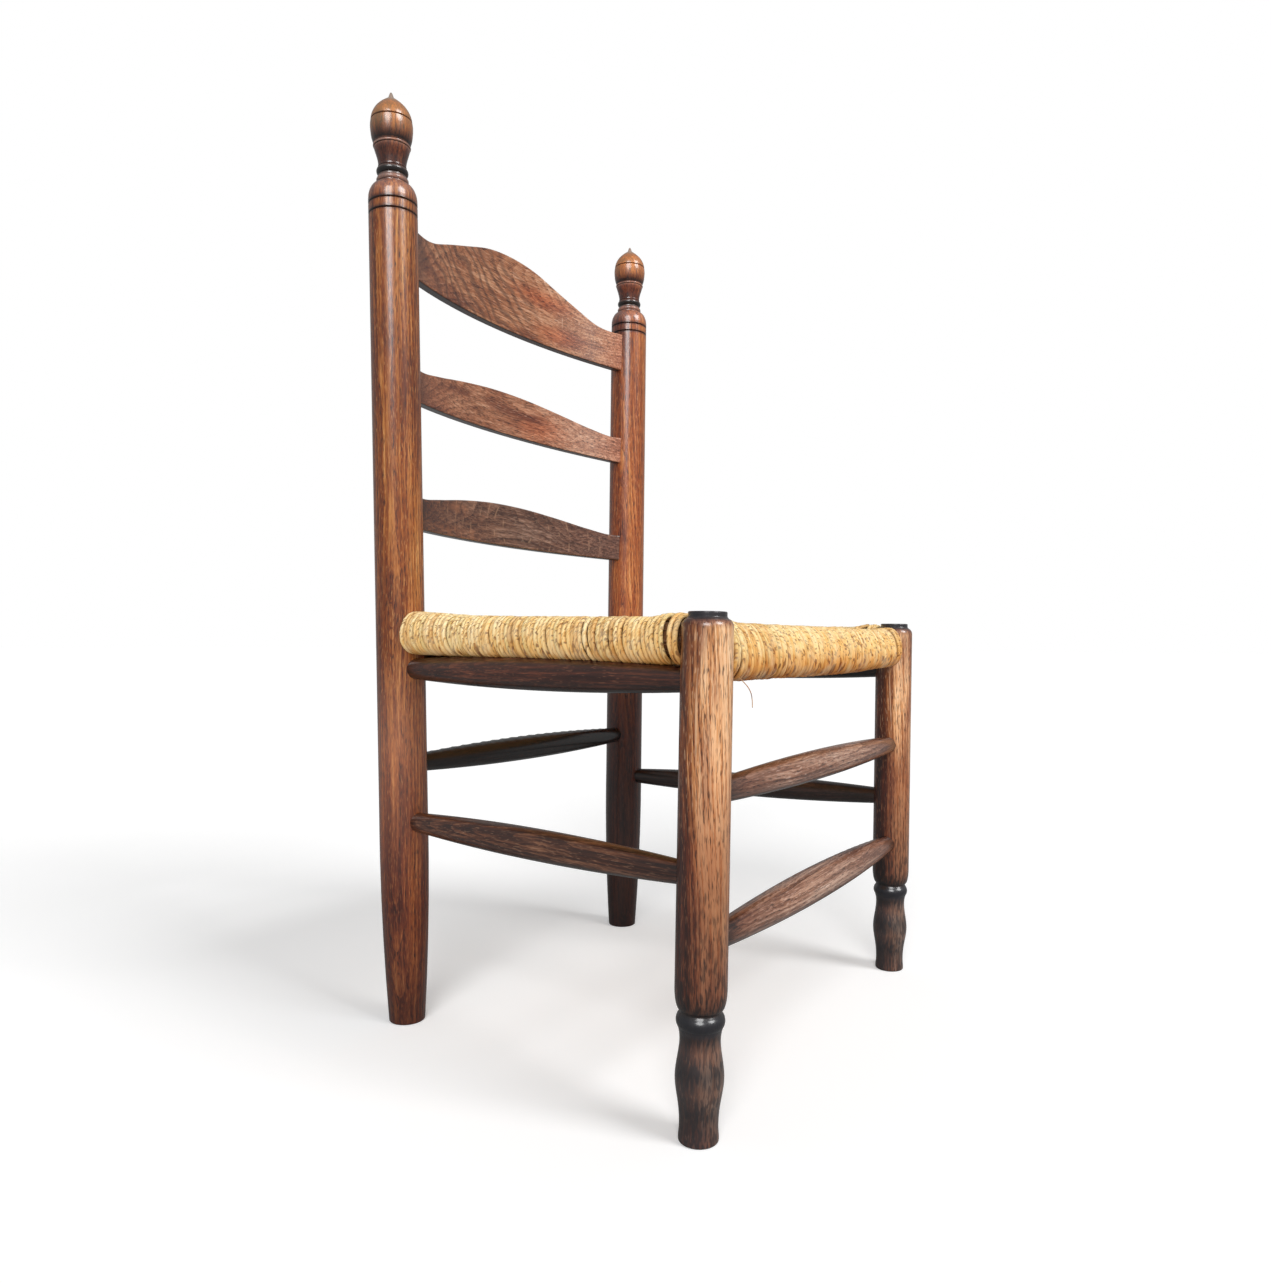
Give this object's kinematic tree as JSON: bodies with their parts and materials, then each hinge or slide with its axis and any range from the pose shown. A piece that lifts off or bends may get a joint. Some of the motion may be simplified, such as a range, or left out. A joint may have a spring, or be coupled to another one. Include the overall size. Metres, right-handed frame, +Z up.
{
  "type": "ladderback chair",
  "caption": "Ladderback dining chair with turned posts, shaped slats, spindle stretchers and a woven rush seat.",
  "frame": {"origin": "on the floor, in the middle of the chair's overall width and depth", "axes": "+Z up; the sitter faces -Y; +X is at the sitter's left hand"},
  "size_m": [0.5326, 0.4625, 0.9997],
  "materials": {
    "oak": "stained and varnished, satin to gloss",
    "rail_wood": "bare, hidden in the rush",
    "rush": "twisted rush, dull to satin",
    "straw": "loose straw, hidden in the seat"
  },
  "bodies": {
    "root": {"back_stretcher": "oak", "front_leg_left": "oak", "front_leg_right": "oak", "lower_front_stretcher": "oak", "lower_side_stretcher_left": "oak", "lower_side_stretcher_right": "oak", "lower_slat": "oak", "middle_slat": "oak", "rear_post_left": "oak", "rear_post_right": "oak", "rush_seat": "rush", "rush_stuffing": "straw", "seat_rail_back": "rail_wood", "seat_rail_front": "rail_wood", "seat_rail_left": "rail_wood", "seat_rail_right": "rail_wood", "top_slat": "oak", "upper_front_stretcher": "oak", "upper_side_stretcher_left": "oak", "upper_side_stretcher_right": "oak"}
  },
  "joints": []
}
